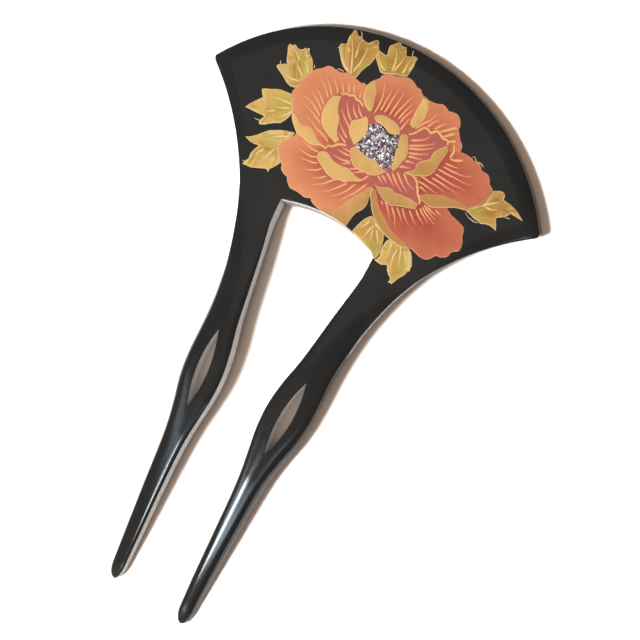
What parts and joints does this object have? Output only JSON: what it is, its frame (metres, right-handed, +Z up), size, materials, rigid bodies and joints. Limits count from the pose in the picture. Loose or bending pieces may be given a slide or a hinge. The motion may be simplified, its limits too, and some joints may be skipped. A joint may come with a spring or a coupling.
{
  "type": "kanzashi",
  "caption": "Two-pronged hairpin with a fan-shaped black lacquered head, painted in low relief with a coral peony and gold leaves.",
  "frame": {"origin": "under the middle of the hairpin's box, on the surface it lies on, painted side up", "axes": "+X across the head, +Y from the prong tips to the rim, +Z up out of the painted side"},
  "size_m": [0.0828, 0.1472, 0.0054],
  "materials": {
    "black_lacquer": "polished black lacquer with fine scratches",
    "coral_paint": "raised coral lacquer shading to crimson, with thin gold veins",
    "matte_gold": "matte gold powder in lacquer",
    "leaf_gold": "greenish gold powder with brighter raised veins",
    "shell_grit": "crushed silver and violet shell set in clear lacquer"
  },
  "bodies": {
    "root": {"pin_body": "black_lacquer", "petal_1": "coral_paint", "petal_2": "coral_paint", "petal_3": "coral_paint", "petal_4": "coral_paint", "petal_5": "coral_paint", "petal_6": "coral_paint", "gold_lip_1": "matte_gold", "gold_lip_2": "matte_gold", "gold_lip_3": "matte_gold", "gold_lip_4": "matte_gold", "gold_lip_5": "matte_gold", "gold_lip_6": "matte_gold", "gold_lip_7": "matte_gold", "gold_lip_8": "matte_gold", "gold_lip_9": "matte_gold", "gold_lip_10": "matte_gold", "gold_ring_1": "matte_gold", "gold_ring_2": "matte_gold", "gold_ring_3": "matte_gold", "gold_ring_4": "matte_gold", "shell_heart": "shell_grit", "leaf_1": "leaf_gold", "leaf_2": "leaf_gold", "leaf_3": "leaf_gold", "leaf_4": "leaf_gold", "leaf_5": "leaf_gold", "leaf_6": "leaf_gold", "leaf_7": "leaf_gold", "leaf_8": "leaf_gold"}
  },
  "joints": []
}
